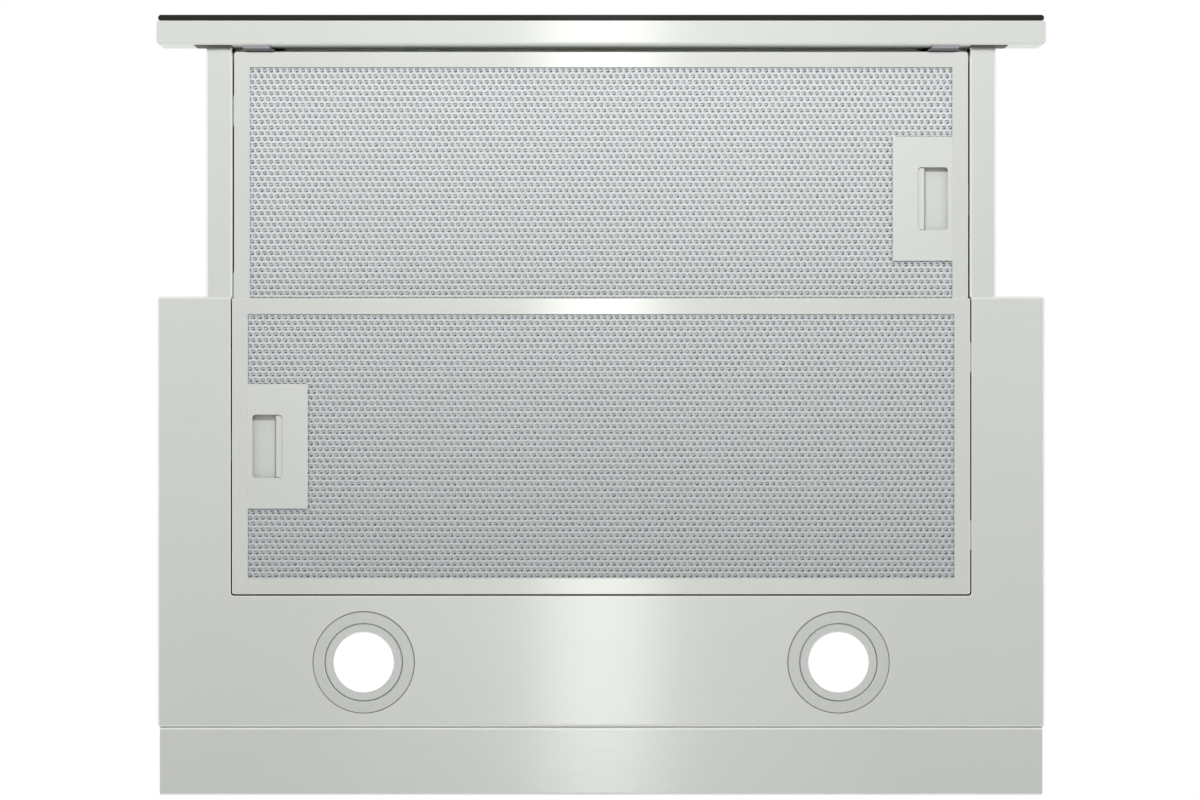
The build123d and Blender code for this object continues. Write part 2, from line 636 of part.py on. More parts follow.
def side_bracket():
    """The right Z-shaped bracket that screws to the inside of the cabinet."""
    inner, outer = BOX_WIDTH / 2, HOOD_WIDTH / 2 - CABINET_WALL
    profile = folded(
        [
            (outer - BRACKET_SHEET, BRACKET_LEVEL + BRACKET_LEG), (outer - BRACKET_SHEET, BRACKET_LEVEL),
            (inner, BRACKET_LEVEL), (inner, BRACKET_LEVEL - BRACKET_LEG),
        ],
        BRACKET_SHEET,
    )
    bracket = extrude(section_xz(BRACKET_LENGTH / 2) * profile, BRACKET_LENGTH)
    for end in (-1, 1):
        slot_plane = Plane(
            origin=(outer + 1, end * BRACKET_SLOT_SPACING / 2, BRACKET_LEVEL + BRACKET_LEG / 2),
            x_dir=(0, 1, 0), z_dir=(1, 0, 0),
        )
        slot = slot_plane * SlotOverall(BRACKET_SLOT_LENGTH, BRACKET_SLOT_WIDTH)
        bracket -= extrude(slot, -BRACKET_SHEET - 2)
    for y, z in BRACKET_SCREWS:
        bracket -= rod(SCREW_HOLE / 2, inner - 1, inner + BRACKET_SHEET + 1, y, z)
    return bracket


# Telescopic slides, drawn for the right-hand side


def slide_channel(back, front, half_height, wall):
    """The C-section of a slide member, open away from the fixed side."""
    top, bottom = SLIDE_Z + half_height, SLIDE_Z - half_height
    return folded([(front, top), (back, top), (back, bottom), (front, bottom)], wall, SLIDE_BEND)


def slide_hanger():
    """The angle under the base's flange that carries the fixed slide member."""
    web = SLIDE_BACK - HANGER_SHEET
    profile = folded(
        [(web + HANGER_FLANGE, -SHEET), (web, -SHEET), (web, SLIDE_Z - SLIDE_HALF - 0.5)],
        HANGER_SHEET,
    )
    hanger = extrude(section_xz(OUTER_END) * profile, OUTER_LENGTH)
    for x, y in HOUSING_SCREWS:
        hanger -= disc(SCREW_HOLE / 2, -SHEET - HANGER_SHEET - 1, 0, abs(x), y)
    return hanger


def slide_outer():
    """The fixed slide member."""
    profile = slide_channel(SLIDE_BACK, SLIDE_BACK + 9.0, SLIDE_HALF, SLIDE_WALL)
    return extrude(section_xz(OUTER_END) * profile, OUTER_LENGTH)


def slide_middle():
    """The floating slide member, which makes half the drawer's travel."""
    profile = slide_channel(SLIDE_BACK + 4.0, SLIDE_BACK + 10.6, MIDDLE_HALF, MIDDLE_WALL)
    return extrude(section_xz(MIDDLE_END) * profile, MIDDLE_LENGTH)


def slide_inner():
    """The slide member on the drawer's wall, open towards the floating one."""
    back, front = STRIP_OUTER - SHEET, STRIP_OUTER - SHEET - 6.0
    top, bottom = SLIDE_Z + INNER_HALF, SLIDE_Z - INNER_HALF
    profile = folded(
        [(front, bottom), (back, bottom), (back, top), (front, top)], SLIDE_WALL, SLIDE_BEND
    )
    return extrude(section_xz(PAN_REAR) * profile, DRAWER_LENGTH)


def slide_glides():
    """The nylon glides on the floating member, running in the fixed member and round the drawer's."""
    outside = (SLIDE_BACK + 4.6, SLIDE_BACK + 8.8, MIDDLE_HALF, SLIDE_HALF - SLIDE_WALL - GLIDE_FIT)
    inside = (SLIDE_BACK + 6.8, SLIDE_BACK + 10.4, INNER_HALF + GLIDE_FIT, MIDDLE_HALF - MIDDLE_WALL)
    rows = [(outside, rear) for rear in (MIDDLE_END, MIDDLE_END - GLIDE_SPREAD)]
    rows += [(inside, rear) for rear in (MIDDLE_START + GLIDE_LENGTH, MIDDLE_START + GLIDE_SPREAD)]
    glides = []
    for (back, front, near, far), rear in rows:
        for up in (-1, 1):
            low, high = sorted((SLIDE_Z + up * near, SLIDE_Z + up * far))
            glides.append(block(back, front, rear - GLIDE_LENGTH, rear, low, high))
    return Compound(children=glides)


# Drawer


def drawer_pan():
    """The drawer: one sheet folded to a top, two inner walls, two bottom strips and two outer walls."""
    right = [
        (OPENING_HALF, PAN_TOP - SHEET), (OPENING_HALF, DRAWER_BOTTOM),
        (STRIP_OUTER, DRAWER_BOTTOM), (STRIP_OUTER, PAN_TOP - SHEET),
    ]
    left = [(-x, z) for x, z in reversed(right)]
    pan = extrude(section_xz(PAN_REAR) * folded(left + right, SHEET), DRAWER_LENGTH)
    tongue = STRIP_OUTER - 2 * SHEET
    pan += block(-tongue, tongue, HANDLE_FRONT + 0.8, PAN_FRONT + 1, PAN_TOP - SHEET, PAN_TOP)
    slots = [(-OPENING_HALF, FRONT_FILTER_Y + side * TAB_SPACING / 2) for side in (-1, 1)]
    for x, y in [*slots, (OPENING_HALF, FRONT_FILTER_Y)]:
        pan -= Pos(x, y, DRAWER_BOTTOM) * tongue_slot(6, SLOT_DROP, SLOT_RISE)
    for x in HANDLE_SCREW_X:
        pan -= disc(SCREW_HOLE / 2, PAN_TOP - 3, PAN_TOP + 1, x, HANDLE_SCREW_Y)
    return pan


def handle_section(inset):
    """The handle's section in Y and Z: upright lip with its bend, ledge, sloped back and flat top."""
    section = polygon(
        (HANDLE_FRONT + inset, HANDLE_BOTTOM + inset), (HANDLE_REAR - inset, HANDLE_BOTTOM + inset),
        (HANDLE_REAR - inset, LIP_TOP - inset), (HANDLE_REAR - HANDLE_LEDGE - inset, LIP_TOP - inset),
        (HANDLE_FRONT + HANDLE_TOP_LAND - inset, HANDLE_TOP - inset),
        (HANDLE_FRONT + inset, HANDLE_TOP - inset),
    ).face()
    low_corners = section.vertices().sort_by(Axis.Y)[:2]
    return section.fillet_2d(HANDLE_BEND - inset, [low_corners.sort_by(Axis.X)[-1]])


def handle_profile():
    """The hollow stainless handle bar, with a sloped back above its lip."""
    half = HOOD_WIDTH / 2
    plan = polygon(
        (-half, HANDLE_FRONT), (half, HANDLE_FRONT), (half, HANDLE_REAR), (-half, HANDLE_REAR)
    ).face()
    plan = plan.fillet_2d(HANDLE_REAR_CORNER, [v for v in plan.vertices() if v.Y > HANDLE_REAR - 1])
    plan = plan.fillet_2d(HANDLE_FRONT_CORNER, [v for v in plan.vertices() if v.Y < HANDLE_FRONT + 1])
    bar = extrude(Pos(0, 0, HANDLE_BOTTOM) * plan, HANDLE_HEIGHT)
    bar &= extrude(section_yz(-half) * handle_section(0), HOOD_WIDTH)
    hollow_width = HOOD_WIDTH - 2 * HANDLE_REAR_CORNER
    bar -= extrude(section_yz(-hollow_width / 2) * handle_section(HANDLE_WALL), hollow_width)
    bar -= block(
        -TOUCH_WINDOW_X / 2, TOUCH_WINDOW_X / 2, HANDLE_FRONT - 1, HANDLE_FRONT + HANDLE_WALL,
        TOUCH_Z - TOUCH_WINDOW_Z / 2, TOUCH_Z + TOUCH_WINDOW_Z / 2,
    )
    for side in (-1, 1):
        middle = side * (OPENING_HALF + CARRIER_WIDTH / 2)
        half = CARRIER_WIDTH / 2 + CARRIER_FIT
        bar -= block(
            middle - half, middle + half, HANDLE_REAR - HANDLE_BEND, HANDLE_REAR + 1,
            HANDLE_BOTTOM + HANDLE_WALL, LIP_TOP - HANDLE_WALL,
        )
    for x in HANDLE_SCREW_X:
        bar -= disc(SCREW_HOLE / 2, HANDLE_TOP - 3, HANDLE_TOP + 1, x, HANDLE_SCREW_Y)
    return bar


def handle_glass():
    """The black glass plate on the front of the handle, with round ends."""
    plan = Pos(0, HANDLE_FRONT - GLASS_THICK / 2, HANDLE_BOTTOM) * RectangleRounded(
        HOOD_WIDTH - 2 * GLASS_INSET, GLASS_THICK, GLASS_THICK / 2 - 0.01
    )
    glass = extrude(plan, GLASS_HEIGHT)
    return chamfer(glass.faces().filter_by(Plane.XY).edges(), 0.3)


def touch_board():
    """The touch board in the handle's window, with its five pads against the glass."""
    board_y = HANDLE_FRONT + HANDLE_WALL + 0.6
    half_x = TOUCH_WINDOW_X / 2 - 4
    board = block(-half_x, half_x, board_y, board_y + 1.6, TOUCH_Z - 10, TOUCH_Z + 10)
    pad_length = board_y - HANDLE_FRONT - 0.1
    for i in range(-2, 3):
        board += cross_pin(
            TOUCH_PAD_RADIUS, pad_length, i * TOUCH_PAD_PITCH, board_y - pad_length / 2, TOUCH_Z
        )
    return board


def handle_carrier():
    """The right moulded carrier: its head sits in the handle, its arm lies in the drawer's channel."""
    head = block(
        OPENING_HALF, OPENING_HALF + CARRIER_WIDTH, HANDLE_FRONT + HANDLE_WALL, PAN_FRONT,
        HANDLE_BOTTOM + HANDLE_WALL, LIP_TOP - HANDLE_WALL - CARRIER_FIT,
    )
    arm = block(
        OPENING_HALF + SHEET + BEND, STRIP_OUTER - SHEET - BEND, PAN_FRONT - 4, PAN_FRONT + CARRIER_ARM,
        DRAWER_BOTTOM + SHEET, LIP_TOP - HANDLE_WALL - CARRIER_FIT,
    )
    return fillet(head.edges().filter_by(Axis.Z), 0.25) + arm


def filter_clip():
    """The right pale clip behind the handle's lip, which steadies the filter's front edge."""
    centre = OPENING_HALF - CLIP_INSET
    tab = block(
        centre - CLIP_WIDTH / 2, centre + CLIP_WIDTH / 2, HANDLE_REAR, HANDLE_REAR + CLIP_TAB,
        HANDLE_BOTTOM + 1.0, LIP_TOP,
    )
    foot = block(
        centre - CLIP_FOOT / 2, centre + CLIP_FOOT / 2,
        HANDLE_REAR + CLIP_TAB - 0.6, HANDLE_REAR + DRAWER_FILTER_GAP,
        DRAWER_BOTTOM - CLIP_DROP, DRAWER_BOTTOM + FILTER_HEIGHT,
    )
    return fillet(tab.edges().filter_by(Axis.Z), 0.6) + fillet(foot.edges().filter_by(Axis.Y), 1.0)


def drawer_magnet():
    """The small magnet block on the drawer's right wall."""
    return block(STRIP_OUTER, STRIP_OUTER + 3.5, PAN_REAR - 20, PAN_REAR - 8, -16, -8)


def drawer_sensor():
    """The reed sensor under the base's flange, which the magnet meets when the drawer is out."""
    case = block(STRIP_OUTER + 5.5, STRIP_OUTER + 17.5, PAN_REAR - 26, PAN_REAR - 2, -17, -SHEET)
    return fillet(case.edges().filter_by(Axis.Z), 1.5)


# Lamps, drawn about their own axis


def lamp_bezel():
    """The flange ring under the base and the neck that passes through its hole."""
    ring, flange, neck = LAMP_RING_DIAMETER / 2, LAMP_FLANGE_DIAMETER / 2, LAMP_NECK_DIAMETER / 2
    face = BASE_BOTTOM - LAMP_FLANGE_THICK
    neck_top = BASE_BOTTOM + LAMP_NECK_HEIGHT
    profile = polygon(
        (ring, neck_top), (ring, face + 0.6), (ring + 0.6, face), (flange - 0.7, face),
        (flange, face + 0.7), (flange, BASE_BOTTOM), (neck, BASE_BOTTOM), (neck, neck_top),
    )
    return revolve(Plane.XZ * profile, Axis.Z)


def lamp_can():
    """The lamp body: its rim is the inner ring seen from below, with a finned heat sink above."""
    outer = LAMP_RING_DIAMETER / 2 - LAMP_FIT
    shoulder = outer + 1.5
    seat = LAMP_LENS_DIAMETER / 2 + 0.2
    face = BASE_BOTTOM - LAMP_FLANGE_THICK + 0.1
    neck_top = BASE_BOTTOM + LAMP_NECK_HEIGHT
    fin_top = face + LAMP_BODY_HEIGHT
    fin_foot = fin_top - LAMP_FIN_HEIGHT
    profile = polygon(
        (0, face + 4), (seat, face + 4), (seat, face + 0.5), (seat + 0.5, face),
        (outer - 0.6, face), (outer, face + 0.6), (outer, neck_top), (shoulder, neck_top),
        (shoulder, neck_top + 2), (outer, neck_top + 2), (outer, fin_foot - 2),
        (outer - 2, fin_foot), (0, fin_foot),
    )
    can = revolve(Plane.XZ * profile, Axis.Z)
    pitch = 2 * (outer - 4) / (LAMP_FINS - 1)
    for i in range(LAMP_FINS):
        x = -outer + 4 + i * pitch
        reach = math.sqrt((outer - 2) ** 2 - x**2)
        can += block(x - 0.8, x + 0.8, -reach, reach, fin_foot, fin_top)
    return can


def lamp_lens():
    """The frosted lens in the lamp body."""
    face = BASE_BOTTOM - LAMP_FLANGE_THICK + 0.2
    return rounded_lower_rim(disc(LAMP_LENS_DIAMETER / 2, face, face + 3.7), 0.4)


def lamp_clip():
    """A spring clip that holds the bezel's neck down on the base sheet, on the lamp's +X side."""
    neck = LAMP_NECK_DIAMETER / 2
    floor = BASE_BOTTOM + SHEET
    hook = BASE_BOTTOM + LAMP_NECK_HEIGHT
    profile = folded(
        [(neck + 0.6, floor + 8), (neck + 0.6, floor), (neck + 12, floor)], 0.6, 0.4
    )
    return extrude(section_xz(5) * profile, 10) + block(neck - 2, neck + 1.2, -5, 5, hook, hook + 1)


# Blower, drawn about its shaft and moved up into the housing


def scroll_outline(top, inset=0.0):
    """The spiral with its straight outlet up to a level, in Y and Z, set in by a wall's thickness."""
    steps = 9
    spiral = []
    for i in range(steps):
        share = i / (steps - 1)
        angle = math.radians(SCROLL_CUTOFF + (360 - SCROLL_CUTOFF) * share)
        radius = SCROLL_START + SCROLL_GROWTH * share - inset
        spiral.append((radius * math.cos(angle), radius * math.sin(angle)))
    start, end = spiral[0], spiral[-1]
    tongue = OUTLET_START + inset
    corner = [(tongue, start[1])] if inset else []
    outlet = Polyline(end, (end[0], top), (tongue, top), *corner, start)
    return make_face([Spline(*spiral), *outlet.edges()])


def scroll_half():
    """The right half of the scroll, from its inlet wall to the joint at the middle."""
    half = SCROLL_HALF_WIDTH
    top = BOX_CEILING - BLOWER_Z
    shell = extrude(section_yz(0) * scroll_outline(top), half)
    cover = COLLAR_INNER + SCROLL_FLANGE
    outlet_y = OUTLET_Y - BLOWER_Y
    shell += block(0, cover, outlet_y - cover, outlet_y + cover, top - SCROLL_WALL, top)
    for x, y in COLLAR_SCREWS:
        shell -= disc(SCREW_HOLE / 2, top - SCROLL_WALL - 1, top + 1, abs(x), y - BLOWER_Y)
    for angle in SCROLL_LUGS:
        share = (angle - SCROLL_CUTOFF) / (360 - SCROLL_CUTOFF)
        radius = SCROLL_START + SCROLL_GROWTH * share
        lug = block(0, 4, radius - 1.5, radius + 7, -5, 5) - rod(1.5, -1, 5, radius + 3.5, 0)
        shell += Rot(angle, 0, 0) * lug
    shell -= extrude(section_yz(-1) * scroll_outline(top + 5, SCROLL_WALL), half - SCROLL_WALL + 1)
    shell -= rod(INLET_RADIUS, half - 10, half + 10, 0, 0)
    rim = polygon(
        (half - SCROLL_WALL, INLET_RADIUS), (half + 4, INLET_RADIUS + 5), (half + 4, INLET_RADIUS + 7),
        (half - 1, INLET_RADIUS + 4), (half - SCROLL_WALL, INLET_RADIUS + 4),
    )
    return Pos(0, BLOWER_Y, BLOWER_Z) * (shell + revolve(rim, Axis.X))


def impeller():
    """The double-inlet impeller: a centre disc, two end rings and forward-curved blades."""
    outer, half = IMPELLER_RADIUS, IMPELLER_HALF_WIDTH
    inner = outer - BLADE_DEPTH
    root = (inner, 0.16 * inner)
    middle = ((inner + outer) / 2, 0.07 * outer)
    tip = (outer - 1.2, 0.10 * outer)
    lifted = [(y, z + BLADE_THICK) for y, z in (tip, middle, root)]
    section = make_face([
        ThreePointArc(root, middle, tip), Line(tip, lifted[0]),
        ThreePointArc(*lifted), Line(lifted[2], root),
    ])
    blade = extrude(section_yz(-half) * section, 2 * half)
    blades = [Rot(i * 360 / BLADE_COUNT, 0, 0) * blade for i in range(BLADE_COUNT)]
    ring = revolve(
        polygon((half - 2, inner + 4), (half - 2, outer), (half + 1, outer), (half + 1, inner + 4)),
        Axis.X,
    )
    hub = revolve(
        polygon(
            (-9, SHAFT_RADIUS), (9, SHAFT_RADIUS), (9, 12), (1, 15), (1, outer), (-1, outer),
            (-1, 15), (-9, 12),
        ),
        Axis.X,
    )
    return Pos(0, BLOWER_Y, BLOWER_Z) * (hub + ring + mirror(ring, about=Plane.YZ) + blades)


def motor_shaft():
    """The motor's shaft, which carries the impeller."""
    return rod(SHAFT_RADIUS, MOTOR_START - 6, 14, BLOWER_Y, BLOWER_Z)


def motor_body():
    """The motor, partly inside the impeller, bored for the shaft and slotted at its outer end."""
    end = MOTOR_START + MOTOR_LENGTH
    bore = SHAFT_RADIUS + SHAFT_FIT
    profile = polygon(
        (MOTOR_START, bore), (MOTOR_START, 16), (MOTOR_START + 6, 30), (MOTOR_START + 12, MOTOR_RADIUS),
        (end - 12, MOTOR_RADIUS), (end - 6, 30), (end, 16), (end, bore),
    )
    body = revolve(profile, Axis.X)
    for i in range(MOTOR_SLOTS):
        slot = block(MOTOR_START + 1, MOTOR_START + 9, 20, 28, -1.5, 1.5)
        body -= Rot(i * 360 / MOTOR_SLOTS, 0, 0) * slot
    return Pos(0, BLOWER_Y, BLOWER_Z) * body


def motor_bracket():
    """The three-armed bracket between the motor and the scroll's inlet wall."""
    ring = rod(MOTOR_RADIUS + 3, BRACKET_X, BRACKET_X + 10, 0, 0)
    ring -= rod(MOTOR_RADIUS, BRACKET_X - 1, BRACKET_X + 11, 0, 0)
    for i in range(3):
        arm = block(
            BRACKET_X, BRACKET_X + BRACKET_PLATE, MOTOR_RADIUS + 1, MOTOR_BUSH_CIRCLE + 5, -6, 6
        )
        arm -= rod(2.2, BRACKET_X - 1, BRACKET_X + 3, MOTOR_BUSH_CIRCLE, 0)
        ring += Rot(MOTOR_ARM_TURN + i * 120, 0, 0) * arm
    return Pos(0, BLOWER_Y, BLOWER_Z) * ring


def motor_bushes():
    """The rubber bushes between the bracket's arms and the scroll's inlet wall."""
    bush = rod(5.0, BRACKET_X + BRACKET_PLATE, -SCROLL_HALF_WIDTH, MOTOR_BUSH_CIRCLE, 0)
    bush += rod(2.0, BRACKET_X - 2, BRACKET_X + BRACKET_PLATE, MOTOR_BUSH_CIRCLE, 0)
    bush += rod(4.0, BRACKET_X - 3, BRACKET_X, MOTOR_BUSH_CIRCLE, 0)
    place = Pos(0, BLOWER_Y, BLOWER_Z)
    return Compound(children=[place * Rot(MOTOR_ARM_TURN + i * 120, 0, 0) * bush for i in range(3)])


# Electrical pieces


def hung_case(size, place):
    """A round-cornered case that hangs from the housing's top."""
    width, depth, height = size
    case = Pos(*place, BOX_CEILING - height / 2) * Box(width, depth, height)
    return fillet(case.edges().filter_by(Axis.Z), 4)


def control_box():
    """The closed case of the control electronics, with its lid's rim."""
    width, depth, _ = CONTROL_SIZE
    rim = Pos(*CONTROL_PLACE, BOX_CEILING - 10) * Box(width + 6, depth + 6, 3)
    return hung_case(CONTROL_SIZE, CONTROL_PLACE) + fillet(rim.edges().filter_by(Axis.Z), 5)


def run_capacitor():
    """The motor's run capacitor, hanging from the housing's top."""
    radius, height = CAPACITOR_SIZE
    can = disc(radius, BOX_CEILING - height, BOX_CEILING, *CAPACITOR_PLACE)
    return rounded_lower_rim(can, 2)


def cable_inlet():
    """The gland in the housing's top where the mains lead enters."""
    x, y = GLAND_PLACE
    gland = disc(GLAND_RADIUS - 0.2, BOX_HEIGHT - 12, BOX_HEIGHT + 6, x, y)
    for foot in (BOX_HEIGHT, BOX_CEILING - 5):
        gland += Pos(x, y, foot) * extrude(RegularPolygon(11, 6), 5)
    dome = Cone(7.5, 5.5, 9, align=(Align.CENTER, Align.CENTER, Align.MIN))
    gland += Pos(x, y, BOX_HEIGHT + 6) * dome
    return gland - disc(GLAND_BORE, BOX_HEIGHT - 13, BOX_HEIGHT + 16, x, y)


# Outlet collar


def outlet_collar():
    """The moulded collar for the duct, with a stop ledge and two bosses for the flaps' pins."""
    outer, inner = COLLAR_DIAMETER / 2, COLLAR_INNER
    base, top = BOX_HEIGHT, BOX_HEIGHT + COLLAR_HEIGHT
    ledge = base + FLAP_LEVEL - 0.3
    profile = polygon(
        (inner, base), (COLLAR_FLANGE / 2, base), (COLLAR_FLANGE / 2, base + COLLAR_FLANGE_THICK),
        (outer, base + COLLAR_FLANGE_THICK), (outer, top - 2), (outer - 1, top), (inner, top),
        (inner, ledge), (inner - 3, ledge), (inner - 1, base + 4),
    )
    collar = Pos(0, OUTLET_Y, 0) * revolve(Plane.XZ * profile, Axis.Z)
    for side in (-1, 1):
        near, far = sorted((side * (inner - BOSS_DEPTH), side * (inner + 0.5)))
        collar += block(
            -BOSS_HALF_WIDTH, BOSS_HALF_WIDTH, OUTLET_Y + near, OUTLET_Y + far,
            base + 4, FLAP_AXIS_Z + BOSS_RISE,
        )
        for x in (-FLAP_AXIS_X, FLAP_AXIS_X):
            collar -= cross_pin(
                FLAP_PIN + FLAP_PIN_FIT, 2 * BOSS_DEPTH + 0.8, x, OUTLET_Y + side * inner, FLAP_AXIS_Z
            )
    for x, y in COLLAR_SCREWS:
        collar -= disc(SCREW_HOLE / 2, base - 1, base + 5, x, y)
    return collar


def collar_flap():
    """The right non-return flap: a half disc with a barrel along its straight edge and two pins."""
    level = BOX_HEIGHT + FLAP_LEVEL
    barrel_half = COLLAR_INNER - BOSS_DEPTH - 0.4
    plate = disc(COLLAR_INNER - FLAP_FIT, level, level + FLAP_THICK)
    plate -= block(-100, FLAP_AXIS_X, -100, 100, level - 1, level + 5)
    for side in (-1, 1):
        near, far = sorted((side * barrel_half, side * 100))
        plate -= block(-1, FLAP_AXIS_X + FLAP_NOTCH, near, far, level - 1, level + 5)
    barrel = cross_pin(FLAP_BARREL, 2 * barrel_half, FLAP_AXIS_X, 0, FLAP_AXIS_Z)
    pins = cross_pin(FLAP_PIN, 2 * (COLLAR_INNER - 0.6), FLAP_AXIS_X, 0, FLAP_AXIS_Z)
    return Pos(0, OUTLET_Y, 0) * (plate + barrel + pins)


# Fasteners


def housing_screws():
    """The screws of the housing's flanges, the collar and the side brackets."""
    screws = [Pos(x, y, BOX_SHEET) * screw(4.4) for x, y in HOUSING_SCREWS]
    screws += [Pos(x, y, BOX_HEIGHT + COLLAR_FLANGE_THICK) * screw(5.0) for x, y in COLLAR_SCREWS]
    for side in (-1, 1):
        for y, z in BRACKET_SCREWS:
            seat = Plane(
                origin=(side * (BOX_WIDTH / 2 + BRACKET_SHEET), y, z),
                x_dir=(0, 1, 0), z_dir=(side, 0, 0),
            )
            screws.append(seat.location * screw(5.0))
    return Compound(children=screws)


def handle_screws():
    """The screws that hold the drawer's top to the handle."""
    return Compound(children=[Pos(x, HANDLE_SCREW_Y, PAN_TOP) * screw(4.0) for x in HANDLE_SCREW_X])


# Every piece by its node name

parts = {
    "base_panel": base_panel(),
    "upper_wrap": upper_wrap(),
    "rear_filler": rear_filler(),
    "impeller": impeller(),
    "motor_shaft": motor_shaft(),
    "motor_body": motor_body(),
    "motor_bracket": motor_bracket(),
    "motor_bushes": motor_bushes(),
    "run_capacitor": run_capacitor(),
    "control_box": control_box(),
    "lamp_driver": hung_case(DRIVER_SIZE, DRIVER_PLACE),
    "cable_inlet": cable_inlet(),
    "outlet_collar": outlet_collar(),
    "drawer_pan": drawer_pan(),
    "handle_profile": handle_profile(),
    "handle_glass": handle_glass(),
    "touch_board": touch_board(),
    "drawer_magnet": drawer_magnet(),
    "drawer_sensor": drawer_sensor(),
    "housing_screws": housing_screws(),
    "handle_screws": handle_screws(),
}
right_hand_pieces = {
    "side_plate": side_plate(),
    "side_bracket": side_bracket(),
    "slide_hanger": slide_hanger(),
    "slide_outer": slide_outer(),
    "slide_middle": slide_middle(),
    "slide_inner": slide_inner(),
    "slide_glides": slide_glides(),
    "handle_carrier": handle_carrier(),
    "filter_clip": filter_clip(),
    "scroll_half": scroll_half(),
    "collar_flap": collar_flap(),
}
for name, piece in right_hand_pieces.items():
    parts[f"{name}_right"] = piece
    parts[f"{name}_left"] = mirror(piece, about=Plane.YZ)
clips = []
for side, sign in (("left", -1), ("right", 1)):
    lamp_place = Pos(sign * LAMP_SPACING / 2, LAMP_Y, 0)
    parts[f"lamp_bezel_{side}"] = lamp_place * lamp_bezel()
    parts[f"lamp_can_{side}"] = lamp_place * lamp_can()
    parts[f"lamp_lens_{side}"] = lamp_place * lamp_lens()
    clips += [lamp_place * Rot(0, 0, turn) * lamp_clip() for turn in (0, 180)]
parts["lamp_clips"] = Compound(children=clips)
parts |= cassette("front", Pos(0, FRONT_FILTER_Y, DRAWER_BOTTOM))
parts |= cassette("rear", Pos(0, REAR_FILTER_Y, BASE_BOTTOM) * Rot(0, 0, 180))

os.makedirs("parts", exist_ok=True)
for node, shape in parts.items():
    export_step(shape, f"parts/{node}.step")
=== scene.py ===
"""The looks of a 60 cm pull-out cooker hood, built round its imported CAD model.

Metres. Seen from below with its front up, +X is to the right, +Y goes back to the wall and +Z is up.
"""

import math
import random

import bmesh
import bpy
from mathutils import Matrix, Vector


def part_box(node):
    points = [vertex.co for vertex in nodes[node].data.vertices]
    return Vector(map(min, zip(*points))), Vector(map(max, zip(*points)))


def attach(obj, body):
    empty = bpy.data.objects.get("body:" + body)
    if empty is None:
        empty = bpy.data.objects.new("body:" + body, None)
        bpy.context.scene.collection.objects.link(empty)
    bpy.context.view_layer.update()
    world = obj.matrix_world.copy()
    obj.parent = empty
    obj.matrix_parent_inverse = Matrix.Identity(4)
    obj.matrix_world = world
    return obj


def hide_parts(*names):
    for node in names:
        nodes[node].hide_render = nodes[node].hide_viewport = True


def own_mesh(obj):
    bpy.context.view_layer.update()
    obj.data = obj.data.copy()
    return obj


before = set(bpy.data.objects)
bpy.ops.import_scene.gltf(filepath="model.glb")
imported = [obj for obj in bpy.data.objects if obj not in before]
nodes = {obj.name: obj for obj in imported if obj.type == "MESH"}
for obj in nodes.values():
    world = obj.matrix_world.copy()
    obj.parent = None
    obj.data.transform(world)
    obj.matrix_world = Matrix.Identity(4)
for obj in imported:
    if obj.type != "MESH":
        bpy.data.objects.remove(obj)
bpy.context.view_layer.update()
scene = bpy.context.scene

# The room: an even surround, white to the camera and in mirrors and dimmer as a light, and a pale painted
# floor. The hood hangs over the floor as it would over a cooktop, and its underside mirrors that floor.


class Value:
    """A shader value that works in Python sums."""

    def __init__(self, owner, socket):
        self.owner, self.socket = owner, socket

    def other(self, output):
        """Another output of the same node."""
        return Value(self.owner, self.socket.node.outputs[output])

    def math(self, operation, *others):
        """The result of a Math node that starts from this value."""
        return self.owner.add("Math", {"operation": operation}, [self, *others])

    def __add__(self, other):
        return self.math("ADD", other)

    def __mul__(self, other):
        return self.math("MULTIPLY", other)

    def __sub__(self, other):
        return self.math("SUBTRACT", other)

    def __rsub__(self, other):
        return self.owner.add("Math", {"operation": "SUBTRACT"}, [other, self])

    __radd__, __rmul__ = __add__, __mul__


class Nodes:
    """A node tree that nodes are added to in one call each."""

    def __init__(self, tree):
        self.tree = tree

    def add(self, kind, settings=None, values=(), output=0):
        """Adds a node: its settings come first, then the values or links of its sockets."""
        node = self.tree.nodes.new("ShaderNode" + kind)
        for key, value in (settings or {}).items():
            setattr(node, key, value)
        for key, value in values.items() if isinstance(values, dict) else enumerate(values):
            self.feed(node.inputs[key], value)
        return Value(self, node.outputs[output])

    def feed(self, socket, value):
        """Links a socket to a value, or sets it to a number or a colour."""
        if isinstance(value, Value):
            self.tree.links.new(value.socket, socket)
        elif socket.type == "RGBA":
            socket.default_value = (*value, 1)
        else:
            socket.default_value = value


